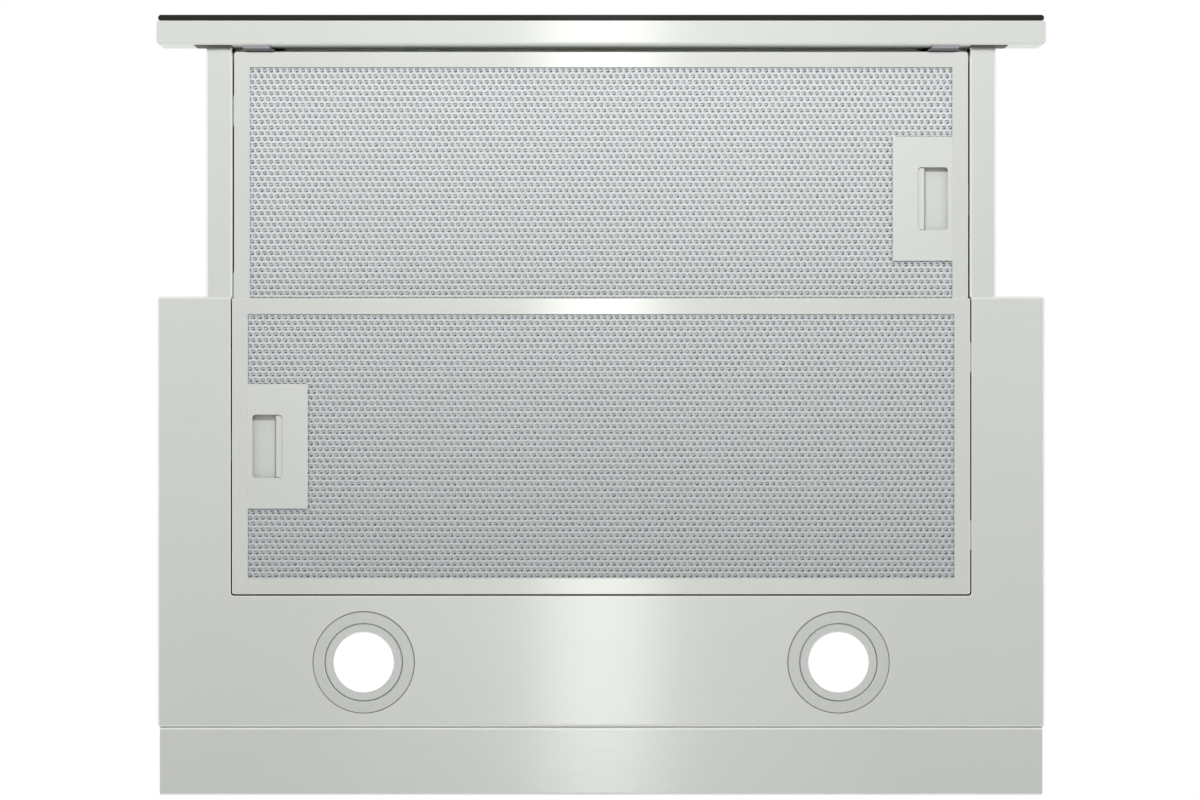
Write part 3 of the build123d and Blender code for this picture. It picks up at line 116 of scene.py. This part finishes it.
class Finish(Nodes):
    """A surface finish: a material with its shader, placed by the object's own coordinates."""

    def __init__(self, name, **constants):
        self.material = bpy.data.materials.new(name)
        self.material.use_nodes = True
        super().__init__(self.material.node_tree)
        self.shader = self.tree.nodes["Principled BSDF"]
        self.place = self.add("TexCoord", output="Object")
        for socket, value in constants.items():
            self.set(socket.replace("_", " ").title(), value)

    def set(self, socket, value):
        """Sets or links a socket of the shader."""
        self.feed(self.shader.inputs[socket], value)

    def noise(self, size, detail=2.0, stretch=(1, 1, 1)):
        """Noise with features of a size in metres, drawn out along an axis by its stretch."""
        scale = tuple(1 / (size * s) for s in stretch)
        spread = self.add("Mapping", values={"Vector": self.place, "Scale": scale})
        return self.add("TexNoise", values={"Vector": spread, "Scale": 1.0, "Detail": detail})

    def blend(self, share, first, second):
        """A colour between two others."""
        return self.add("Mix", {"data_type": "RGBA"}, {0: share, 6: first, 7: second}, output=2)

    def colour(self, share, first, second):
        """Colours the surface between two tones."""
        self.set("Base Color", self.blend(share, first, second))

    def relief(self, height, depth):
        """Bumps of a depth in metres."""
        self.set("Normal", self.add("Bump", values={"Distance": depth, "Height": height}))

    def on(self, *names):
        """Gives the finish to CAD nodes."""
        for name in names:
            surfaces = nodes[name].data.materials
            surfaces.clear()
            surfaces.append(self.material)


def new_object(name, shape, finish):
    """An object made from a bmesh, which is used up, and given its finish."""
    data = bpy.data.meshes.new(name)
    shape.to_mesh(data)
    shape.free()
    data.materials.append(finish.material)
    made = bpy.data.objects.new(name, data)
    scene.collection.objects.link(made)
    return made


FLOOR_LEVEL = -1.75
FLOOR_REACH = 25
floor_paint = Finish("floor_paint", roughness=0.9)
floor_cloud = floor_paint.noise(0.4)
floor_paint.colour(floor_cloud, (0.84, 0.84, 0.83), (0.86, 0.86, 0.85))
floor_sheet = bmesh.new()
bmesh.ops.create_grid(
    floor_sheet, x_segments=1, y_segments=1, size=FLOOR_REACH,
    matrix=Matrix.Translation((0, 0, FLOOR_LEVEL)),
)
floor = new_object("floor", floor_sheet, floor_paint)

DIM_SURROUND = 0.42
scene.world = bpy.data.worlds.new("surround")
scene.world.use_nodes = True
surround = Nodes(scene.world.node_tree)
light_path = surround.add("LightPath", output="Is Camera Ray")
mirrored = light_path.other("Is Glossy Ray")
through_glass = light_path.other("Is Transmission Ray")
seen = (light_path + mirrored + through_glass).math("MINIMUM", 1.0)
backdrop = scene.world.node_tree.nodes["Background"]
backdrop.inputs["Color"].default_value = (1, 1, 1, 1)
surround.feed(backdrop.inputs["Strength"], DIM_SURROUND + (1 - DIM_SURROUND) * seen)
scene.view_settings.view_transform = "Standard"

# The studio's light: a wide softbox above lights the floor, a small one below the front gives the plastics
# their shadows, and two strips on the floor put the bright band on the satin metal. The wide weak ones
# show in metal only: two on the floor, and four panels round the hood that brighten its rounded bends.


def soft_lamp(name, place, aim, size, radiance, glossy=True, diffuse=True):
    """A rectangular lamp that the camera doesn't see, of an even radiance."""
    light = bpy.data.lights.new(name, "AREA")
    light.shape = "RECTANGLE"
    light.size, light.size_y = size
    light.energy = radiance * math.pi * size[0] * size[1]
    lamp = bpy.data.objects.new(name, light)
    lamp.location = place
    lamp.rotation_euler = (Vector(aim) - Vector(place)).to_track_quat("-Z", "Y").to_euler()
    lamp.visible_camera = False
    lamp.visible_glossy = glossy
    lamp.visible_diffuse = diffuse
    scene.collection.objects.link(lamp)


soft_lamp("ceiling_softbox", (0, -1.6, 2.6), (0, -0.8, FLOOR_LEVEL), (3.5, 2.5), 4.9, glossy=False)
soft_lamp("key_softbox", (0, -0.56, -0.68), (0, -0.15, -0.03), (0.08, 0.08), 222, glossy=False)
soft_lamp("front_strip", (0, -0.38, -1.7), (0, -0.38, 0), (0.135, 0.66), 0.62, diffuse=False)
soft_lamp("rear_strip", (0, 0.26, -1.7), (0, 0.26, 0), (0.148, 0.60), 0.40, diffuse=False)
soft_lamp("wide_glow", (0, -0.15, -1.71), (0, -0.15, 0), (0.7, 1.5), 0.05, diffuse=False)
soft_lamp("front_glow", (0, -0.87, -1.72), (0, -0.87, 0), (1.8, 0.8), 0.06, diffuse=False)
PANEL_LEVEL = -0.9
for side, x, y, glow in (
    ("left", -1.7, -0.1, 0.55), ("right", 1.7, -0.1, 0.55), ("front", 0, -1.8, 0.4), ("rear", 0, 1.6, 0.4)
):
    soft_lamp(
        f"{side}_panel", (x, y, PANEL_LEVEL), (0, -0.1, PANEL_LEVEL), (3.4, 1.5), glow, diffuse=False
    )

# The camera stands where the photograph's stood and looks straight up, with the hood's front at the top.
# Its lens takes in the photograph's frame.

camera_data = bpy.data.cameras.new("camera")
camera_data.lens = 70.4
camera_data.sensor_width = 36.0
camera_data.clip_end = 50
camera = bpy.data.objects.new("camera", camera_data)
camera.location = (-0.00074, -0.0753, -1.621)
camera.rotation_euler = (math.pi, 0, 0)
scene.collection.objects.link(camera)
scene.camera = camera

# The base panel, the drawer and the handle are 1 mm stainless sheet with a satin finish: fine lines run
# across the hood, too thin to be told apart, and spread what is mirrored from front to back. The sharp
# bends at the rear of the base and of the handle are duller, as the folding leaves them.


class SatinSheet(Finish):
    """Satin stainless or aluminium sheet with lines along X, duller along a bend where it says so."""

    def __init__(self, name, colour, roughness, groove):
        super().__init__(name, metallic=1.0)
        lines = self.noise(0.00022, 1.0, (120, 1, 1))
        streaks = self.noise(0.0011, 2.0, (60, 1, 1))
        cloud = self.noise(0.07, 2.0)
        low = tuple(c - 0.03 for c in colour)
        high = tuple(c + 0.01 for c in colour)
        self.tone = self.blend(0.5 * streaks + 0.5 * cloud, low, high)
        self.roughness = roughness - 0.02 + 0.04 * streaks
        self.set("Base Color", self.tone)
        self.set("Roughness", self.roughness)
        self.relief(lines, groove)

    def dull(self, start, end, bend_tone, extra_roughness):
        """Dulls the finish from one depth in Y to another and beyond."""
        depth = self.add("SeparateXYZ", values=[self.place], output="Y")
        bend = self.add("MapRange", {"interpolation_type": "SMOOTHSTEP"}, [depth, start, end])
        self.colour(bend, self.tone, bend_tone)
        self.set("Roughness", self.roughness + extra_roughness * bend)


STAINLESS = (0.805, 0.825, 0.785)
SATIN_ROUGHNESS = 0.14
BRUSHING = 0.00002
BEND_START = 0.0016
BEND_END = 0.0008
HANDLE_BEND_START = -0.3162
HANDLE_BEND_END = -0.3150
satin_stainless = SatinSheet("satin_stainless", STAINLESS, SATIN_ROUGHNESS, BRUSHING)
satin_stainless.on("drawer_pan")
base_stainless = SatinSheet("base_stainless", STAINLESS, SATIN_ROUGHNESS, BRUSHING)
base_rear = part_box("rear_filler")[0].y
base_stainless.dull(base_rear - BEND_START, base_rear - BEND_END, (0.78, 0.80, 0.765), 0.11)
base_stainless.on("base_panel")
handle_stainless = SatinSheet("handle_stainless", STAINLESS, SATIN_ROUGHNESS, BRUSHING)
handle_stainless.dull(HANDLE_BEND_START, HANDLE_BEND_END, (0.83, 0.85, 0.81), 0.41)
handle_stainless.on("handle_profile")

# The rear filler is a strip of the same steel, bent up behind the base to close the gap to the wall. Its
# bend at the seam is duller too.

filler_stainless = SatinSheet("filler_stainless", (0.785, 0.805, 0.765), 0.15, BRUSHING)
filler_stainless.dull(base_rear + BEND_START, base_rear + BEND_END, (0.80, 0.82, 0.78), 0.11)
filler_stainless.on("rear_filler")

# The upper housing is hot-dip galvanised sheet with its spangle: a beaded wrap and two flanged ends.
# The slides' hangers, the mounting brackets and the motor's bracket are pressed from it too.

galvanised = Finish("galvanised_sheet", metallic=1.0)
spangle = galvanised.add(
    "TexVoronoi", {"feature": "SMOOTH_F1"}, {"Vector": galvanised.place, "Scale": 75.0, "Smoothness": 0.1},
    output="Color",
)
crystal = galvanised.add("SeparateColor", values=[spangle])
frost = galvanised.noise(0.0012, 3.0)
galvanised.colour(crystal, (0.54, 0.56, 0.575), (0.66, 0.68, 0.69))
galvanised.set("Roughness", 0.30 + 0.14 * crystal + 0.06 * frost)
galvanised.relief(frost, 0.00003)
galvanised.on("upper_wrap", "motor_bracket")
for side in ("left", "right"):
    galvanised.on(f"side_plate_{side}", f"side_bracket_{side}", f"slide_hanger_{side}")

# The telescopic slides are rolled channels of cold-rolled steel with bright zinc plating, and their
# glides are white acetal.

slide_zinc = Finish("slide_zinc", metallic=1.0)
rolling = slide_zinc.noise(0.0008, 2.0, (1, 40, 1))
slide_zinc.colour(rolling, (0.56, 0.57, 0.575), (0.68, 0.69, 0.70))
slide_zinc.set("Roughness", 0.22 + 0.12 * rolling)
slide_zinc.relief(rolling, 0.00001)
glide_acetal = Finish("glide_acetal", roughness=0.35)
flow = glide_acetal.noise(0.002)
glide_acetal.colour(flow, (0.74, 0.74, 0.72), (0.80, 0.80, 0.78))
for side in ("left", "right"):
    slide_zinc.on(f"slide_outer_{side}", f"slide_middle_{side}", f"slide_inner_{side}")
    glide_acetal.on(f"slide_glides_{side}")

# The filters' frames are aluminium strip folded to a C all round and polished along its length; each
# has two hook tabs at one end.

frame_aluminium = SatinSheet("frame_aluminium", (0.80, 0.815, 0.785), 0.13, 0.00001)
frame_aluminium.on("front_filter_frame", "rear_filter_frame")

# The filter pads are layers of expanded aluminium foil, slit and stretched into rows of small staggered
# holes with wavy strands between them. Behind each skin lies a core sheet, shifted so that its strands
# show through the holes, and behind that a pleated one.

HOLE_PITCH = 0.00430
ROW_PITCH = 0.003865
STRAND = 0.0017
WAVE = 0.00035
TWIST = 0.00020
UNEVENNESS = 0.00007
CORE_SHIFT = (0.0008, 0.0015)
FRAME_BORDER = 0.01075
PAD_INSET = 0.0011
UNDER_FRAME = 0.0012
LATCH_STEP = 0.0408
LATCH_HALF = 0.0415
SKIN_LAP = 0.0005
PLEAT_CLEARANCE = 0.0012
SKIN_LEVEL = 0.0004
CORE_LEVEL = 0.0011
PLEAT_LEVEL = 0.0018
PLEAT_HEIGHT = 0.0034
PLEAT_GRID = (240, 44)
RIDGES = 40
SHADE_FADE_FRONT = -0.30
SHADE_FADE_REAR = 0.05


def foil(name, front, rear, contrast):
    """Dull foil with a painted shade: its tone falls off towards the rear, where less light falls on it.
    """
    finish = Finish(name, metallic=0.8, roughness=0.42)
    depth = finish.add("SeparateXYZ", values=[finish.place], output="Y")
    # Painted shade: the tone falls from the front of the pads to the rear.
    painted_shade_fade = finish.add("MapRange", values=[depth, SHADE_FADE_FRONT, SHADE_FADE_REAR])
    tone = finish.blend(painted_shade_fade, front, rear)
    mottle = finish.noise(0.0022, 2.0)
    finish.colour(contrast * mottle, tone, (0.1, 0.11, 0.11))
    finish.relief(finish.noise(0.0007, 2.0), 0.0002)
    return finish


# The core and pleated layers are painted lighter than the skin, as painted light in the holes, where they
# lie in its shade.
skin_foil = foil("skin_foil", (0.84, 0.88, 0.89), (0.585, 0.615, 0.625), 0.28)
core_foil = foil("core_foil", (0.88, 0.91, 0.92), (0.66, 0.68, 0.69), 0.35)
pleat_foil = foil("pleat_foil", (0.86, 0.89, 0.90), (0.62, 0.64, 0.65), 0.4)


def behind_latch(faces, half_x, margin):
    """The faces of a pad that would lie where the latch's case is."""
    return [
        f for f in faces
        if f.calc_center_median().x > half_x - LATCH_STEP - margin
        and abs(f.calc_center_median().y) < LATCH_HALF + margin
    ]


def trim(sheet, half_x, half_y):
    """Cuts a sheet off at the frame's window."""
    for x, y, reach in ((1, 0, half_x), (-1, 0, half_x), (0, 1, half_y), (0, -1, half_y)):
        normal = Vector((x, y, 0))
        bmesh.ops.bisect_plane(
            sheet, geom=[*sheet.verts, *sheet.edges, *sheet.faces], plane_co=normal * reach,
            plane_no=normal, clear_outer=True,
        )


def expanded_sheet(half_x, half_y, level, twist, shift, seed):
    """A sheet with rows of staggered six-sided holes, its strands twisted to face the front."""
    chance = random.Random(seed)
    columns = 2 * math.ceil(half_x / HOLE_PITCH) + 2
    rows = math.ceil(half_y / ROW_PITCH) + 1
    sheet = bmesh.new()
    bmesh.ops.create_grid(sheet, x_segments=2 * columns, y_segments=2 * rows, size=1)
    bmesh.ops.scale(sheet, vec=(columns, rows, 1), verts=sheet.verts)
    walls = []
    for edge in sheet.edges:
        start, end = (v.co for v in edge.verts)
        if round(start.x) == round(end.x) and round(start.x + min(start.y, end.y)) % 2:
            walls.append(edge)
    bumps = {v: WAVE * (1 - 2 * (round(v.co.x + v.co.y) % 2)) for v in sheet.verts}
    for vert, bump in bumps.items():
        vert.co.x = vert.co.x * HOLE_PITCH / 2 + chance.gauss(0, UNEVENNESS)
        vert.co.y = vert.co.y * ROW_PITCH + bump + chance.gauss(0, UNEVENNESS)
    bmesh.ops.dissolve_edges(sheet, edges=walls)
    trim(sheet, half_x, half_y)
    bmesh.ops.delete(sheet, geom=behind_latch(sheet.faces, half_x, -SKIN_LAP), context="FACES")
    holes = sheet.faces[:]
    bmesh.ops.inset_individual(sheet, faces=holes, thickness=STRAND / 2, use_even_offset=True)
    bmesh.ops.delete(sheet, geom=holes, context="FACES_ONLY")
    for vert in sheet.verts:
        vert.co.z = level - twist * math.sin(2 * math.pi * vert.co.y / ROW_PITCH)
    bmesh.ops.translate(sheet, vec=(*shift, 0), verts=sheet.verts)
    return sheet


def pleated_sheet(half_x, half_y):
    """The inner layer, folded into ridges that run from front to back."""
    sheet = bmesh.new()
    bmesh.ops.create_grid(sheet, x_segments=PLEAT_GRID[0], y_segments=PLEAT_GRID[1], size=1)
    bmesh.ops.scale(sheet, vec=(half_x, half_y, 1), verts=sheet.verts)
    bmesh.ops.delete(sheet, geom=behind_latch(sheet.faces, half_x, PLEAT_CLEARANCE), context="FACES")
    for vert in sheet.verts:
        fold = 0.5 - 0.5 * math.cos(RIDGES * math.pi * vert.co.x / half_x)
        vert.co.z = PLEAT_LEVEL + PLEAT_HEIGHT * fold
    return sheet


for prefix, body, turn, sense in (("front", "drawer", 0, 1), ("rear", "rear_filter", math.pi, -1)):
    twist = sense * TWIST
    shift = tuple(sense * step for step in CORE_SHIFT)
    low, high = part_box(f"{prefix}_filter_mesh")
    middle = (low + high) / 2
    half_x = (high.x - low.x) / 2 + PAD_INSET - FRAME_BORDER + UNDER_FRAME
    half_y = (high.y - low.y) / 2 + PAD_INSET - FRAME_BORDER + UNDER_FRAME
    place = Matrix.Translation((middle.x, middle.y, low.z)) @ Matrix.Rotation(turn, 4, "Z")
    layers = (
        ("skin", expanded_sheet(half_x, half_y, SKIN_LEVEL, twist, (0, 0), 11), skin_foil),
        ("core", expanded_sheet(half_x, half_y, CORE_LEVEL, twist, shift, 12), core_foil),
        ("pleats", pleated_sheet(half_x, half_y), pleat_foil),
    )
    for layer, sheet, finish in layers:
        bmesh.ops.transform(sheet, matrix=place, verts=sheet.verts)
        pad = new_object(f"{prefix}_pad_{layer}", sheet, finish)
        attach(pad, body)
        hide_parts(f"{prefix}_filter_mesh")

# The latches are light grey ABS mouldings: a plate let into one end of the frame, a slider with a flat
# finger recess, and a bowed leaf spring behind it, which flattens as the slider is pulled.

latch_abs = Finish("latch_abs", roughness=0.42)
latch_grain = latch_abs.noise(0.0007, 2.0)
latch_abs.colour(latch_grain, (0.515, 0.53, 0.505), (0.545, 0.56, 0.535))
latch_abs.relief(latch_grain, 0.00001)
spring_steel = Finish("spring_steel", metallic=1.0, roughness=0.3)
spring_tone = spring_steel.noise(0.003, 2.0)
spring_steel.colour(spring_tone, (0.42, 0.42, 0.43), (0.52, 0.52, 0.52))
WELD = 0.000002
for prefix, body, wall in (("front", "drawer", 0), ("rear", "rear_filter", 1)):
    latch_abs.on(f"{prefix}_latch_housing", f"{prefix}_latch_slider")
    bow = bmesh.new()
    bow.from_mesh(nodes[f"{prefix}_latch_spring"].data)
    bmesh.ops.remove_doubles(bow, verts=bow.verts, dist=WELD)
    leaf = new_object(f"{prefix}_spring_leaf", bow, spring_steel)
    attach(leaf, body)
    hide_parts(f"{prefix}_latch_spring")
    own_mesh(leaf)

# The lamps are turned aluminium: a flat bezel that spring clips hold in the base, and in it a finned can
# whose rim is the inner ring. A painted shade darkens the bezel's outer rim where it meets the base, and
# the frosted lens is lit evenly to near its edge.

LAMP_X = 0.1598
LAMP_Y = 0.1013
BEZEL_SHADE_RING = (0.0335, 0.0339)
LENS_EDGE = (0.0182, 0.0203)


class LampFinish(Finish):
    """A finish that changes in rings round the axis of the nearer lamp."""

    def beyond(self, inner, outer):
        """0 inside one radius, 1 outside another."""
        place = self.add("SeparateXYZ", values=[self.place])
        across = place.math("ABSOLUTE") - LAMP_X
        along = place.other("Y") - LAMP_Y
        radius = (across * across + along * along).math("SQRT")
        return self.add("MapRange", {"interpolation_type": "SMOOTHSTEP"}, [radius, inner, outer])


bezel_metal = LampFinish("bezel_metal", metallic=1.0)
turning = bezel_metal.noise(0.0009, 2.0)
bezel_tone = bezel_metal.blend(turning, (0.68, 0.70, 0.67), (0.72, 0.74, 0.71))
# Painted shade: the bezel's outer rim is coloured dark where it meets the base.
bezel_rim_shade = bezel_metal.beyond(*BEZEL_SHADE_RING)
bezel_metal.colour(bezel_rim_shade, bezel_tone, (0.23, 0.235, 0.23))
bezel_metal.set("Roughness", 0.24 + 0.05 * turning)
can_metal = Finish("can_metal", metallic=1.0)
casting = can_metal.noise(0.0015, 3.0)
can_metal.colour(casting, (0.64, 0.66, 0.64), (0.72, 0.74, 0.72))
can_metal.set("Roughness", 0.4 + 0.1 * casting)
can_metal.relief(casting, 0.00004)
lens_glow = LampFinish("lens_glow", roughness=0.5, emission_strength=1.0)
lens_edge = lens_glow.beyond(*LENS_EDGE)
lens_glow.colour(lens_edge, (0.6, 0.6, 0.6), (0.5, 0.5, 0.49))
lens_glow.set("Emission Color", lens_glow.blend(lens_edge, (1, 1, 1), (0.36, 0.36, 0.35)))
clip_steel = Finish("clip_steel", metallic=1.0, roughness=0.32)
clip_tone = clip_steel.noise(0.002, 2.0)
clip_steel.colour(clip_tone, (0.52, 0.53, 0.54), (0.62, 0.63, 0.64))
for side in ("left", "right"):
    bezel_metal.on(f"lamp_bezel_{side}")
    can_metal.on(f"lamp_can_{side}")
    lens_glow.on(f"lamp_lens_{side}")
clip_steel.on("lamp_clips")

# The handle's front is a black glass plate, with a green touch board behind it. Black glass-filled nylon
# carriers join the handle to the drawer, and grey clips beside them steady the filter.

black_glass = Finish("black_glass", roughness=0.08)
black_glass.set("Specular IOR Level", 0.25)
smear = black_glass.noise(0.03, 2.0)
black_glass.colour(smear, (0.007, 0.008, 0.007), (0.010, 0.011, 0.010))
black_glass.on("handle_glass")
board_mask = Finish("board_mask", roughness=0.35)
board_weave = board_mask.noise(0.0012, 1.0)
board_mask.colour(board_weave, (0.012, 0.085, 0.035), (0.02, 0.12, 0.05))
board_mask.relief(board_weave, 0.00003)
board_mask.on("touch_board")
black_nylon = Finish("black_nylon", roughness=0.5)
black_grain = black_nylon.noise(0.0006, 2.0)
black_nylon.colour(black_grain, (0.022, 0.022, 0.023), (0.036, 0.036, 0.038))
black_nylon.relief(black_grain, 0.00002)
clip_nylon = Finish("clip_nylon", roughness=0.45)
clip_grain = clip_nylon.noise(0.001, 2.0)
clip_nylon.colour(clip_grain, (0.215, 0.213, 0.228), (0.26, 0.257, 0.273))
for side in ("left", "right"):
    black_nylon.on(f"handle_carrier_{side}")
    clip_nylon.on(f"filter_clip_{side}")
magnet = Finish("ferrite", roughness=0.55)
magnet_grain = magnet.noise(0.0008, 3.0)
magnet.colour(magnet_grain, (0.035, 0.034, 0.036), (0.06, 0.058, 0.06))
magnet.relief(magnet_grain, 0.00003)
magnet.on("drawer_magnet")
black_nylon.on("drawer_sensor")

# The blower has a dark grey polypropylene scroll in two halves, an impeller of the same, and a cast motor
# on rubber bushes with a ground steel shaft.

blower_plastic = Finish("blower_plastic", roughness=0.48)
flow_marks = blower_plastic.noise(0.02, 3.0)
blower_grain = blower_plastic.noise(0.0009, 2.0)
blower_plastic.colour(flow_marks, (0.038, 0.042, 0.046), (0.055, 0.059, 0.063))
blower_plastic.relief(blower_grain, 0.00003)
blower_plastic.on("scroll_half_left", "scroll_half_right", "impeller")
motor_paint = Finish("motor_paint", roughness=0.5)
cast_skin = motor_paint.noise(0.0018, 3.0)
motor_paint.colour(cast_skin, (0.10, 0.10, 0.105), (0.15, 0.15, 0.155))
motor_paint.relief(cast_skin, 0.00008)
motor_paint.on("motor_body")
ground_steel = Finish("ground_steel", metallic=1.0)
grinding = ground_steel.noise(0.0003, 1.0, (1, 12, 12))
ground_steel.colour(grinding, (0.55, 0.55, 0.55), (0.64, 0.64, 0.64))
ground_steel.set("Roughness", 0.18 + 0.08 * grinding)
ground_steel.on("motor_shaft")
bush_rubber = Finish("bush_rubber", roughness=0.75)
rubber_bloom = bush_rubber.noise(0.003, 3.0)
bush_rubber.colour(rubber_bloom, (0.018, 0.018, 0.018), (0.034, 0.034, 0.033))
bush_rubber.relief(rubber_bloom, 0.00003)
bush_rubber.on("motor_bushes")

# The electrics' cases are light grey moulded boxes, the capacitor has a white polypropylene shell, and
# the mains lead enters through a black ribbed gland.

case_abs = Finish("case_abs", roughness=0.45)
case_grain = case_abs.noise(0.0007, 2.0)
case_abs.colour(case_grain, (0.62, 0.62, 0.60), (0.68, 0.68, 0.66))
case_abs.relief(case_grain, 0.00002)
case_abs.on("control_box", "lamp_driver")
capacitor_shell = Finish("capacitor_shell", roughness=0.38)
shell_tone = capacitor_shell.noise(0.006, 2.0)
capacitor_shell.colour(shell_tone, (0.78, 0.78, 0.76), (0.83, 0.83, 0.81))
capacitor_shell.on("run_capacitor")
black_nylon.on("cable_inlet")

# The outlet collar is moulded in dark polypropylene, and four screws hold its flange to the housing. Its
# two flaps hang on pins across it and swing open in the air stream.

collar_plastic = Finish("collar_plastic", roughness=0.5)
collar_grain = collar_plastic.noise(0.0008, 2.0)
collar_plastic.colour(collar_grain, (0.026, 0.027, 0.029), (0.042, 0.043, 0.046))
collar_plastic.relief(collar_grain, 0.00003)
collar_plastic.on("outlet_collar")
black_nylon.on("collar_flap_left", "collar_flap_right")

# The screws are pan-head steel ones, zinc-plated with a pale blue passivation. They hold the housing's
# flanges, the collar, the side brackets and the handle.

screw_zinc = Finish("screw_zinc", metallic=1.0)
plating = screw_zinc.noise(0.0012, 2.0)
screw_zinc.colour(plating, (0.60, 0.62, 0.65), (0.70, 0.72, 0.74))
screw_zinc.set("Roughness", 0.25 + 0.1 * plating)
screw_zinc.on("housing_screws", "handle_screws")
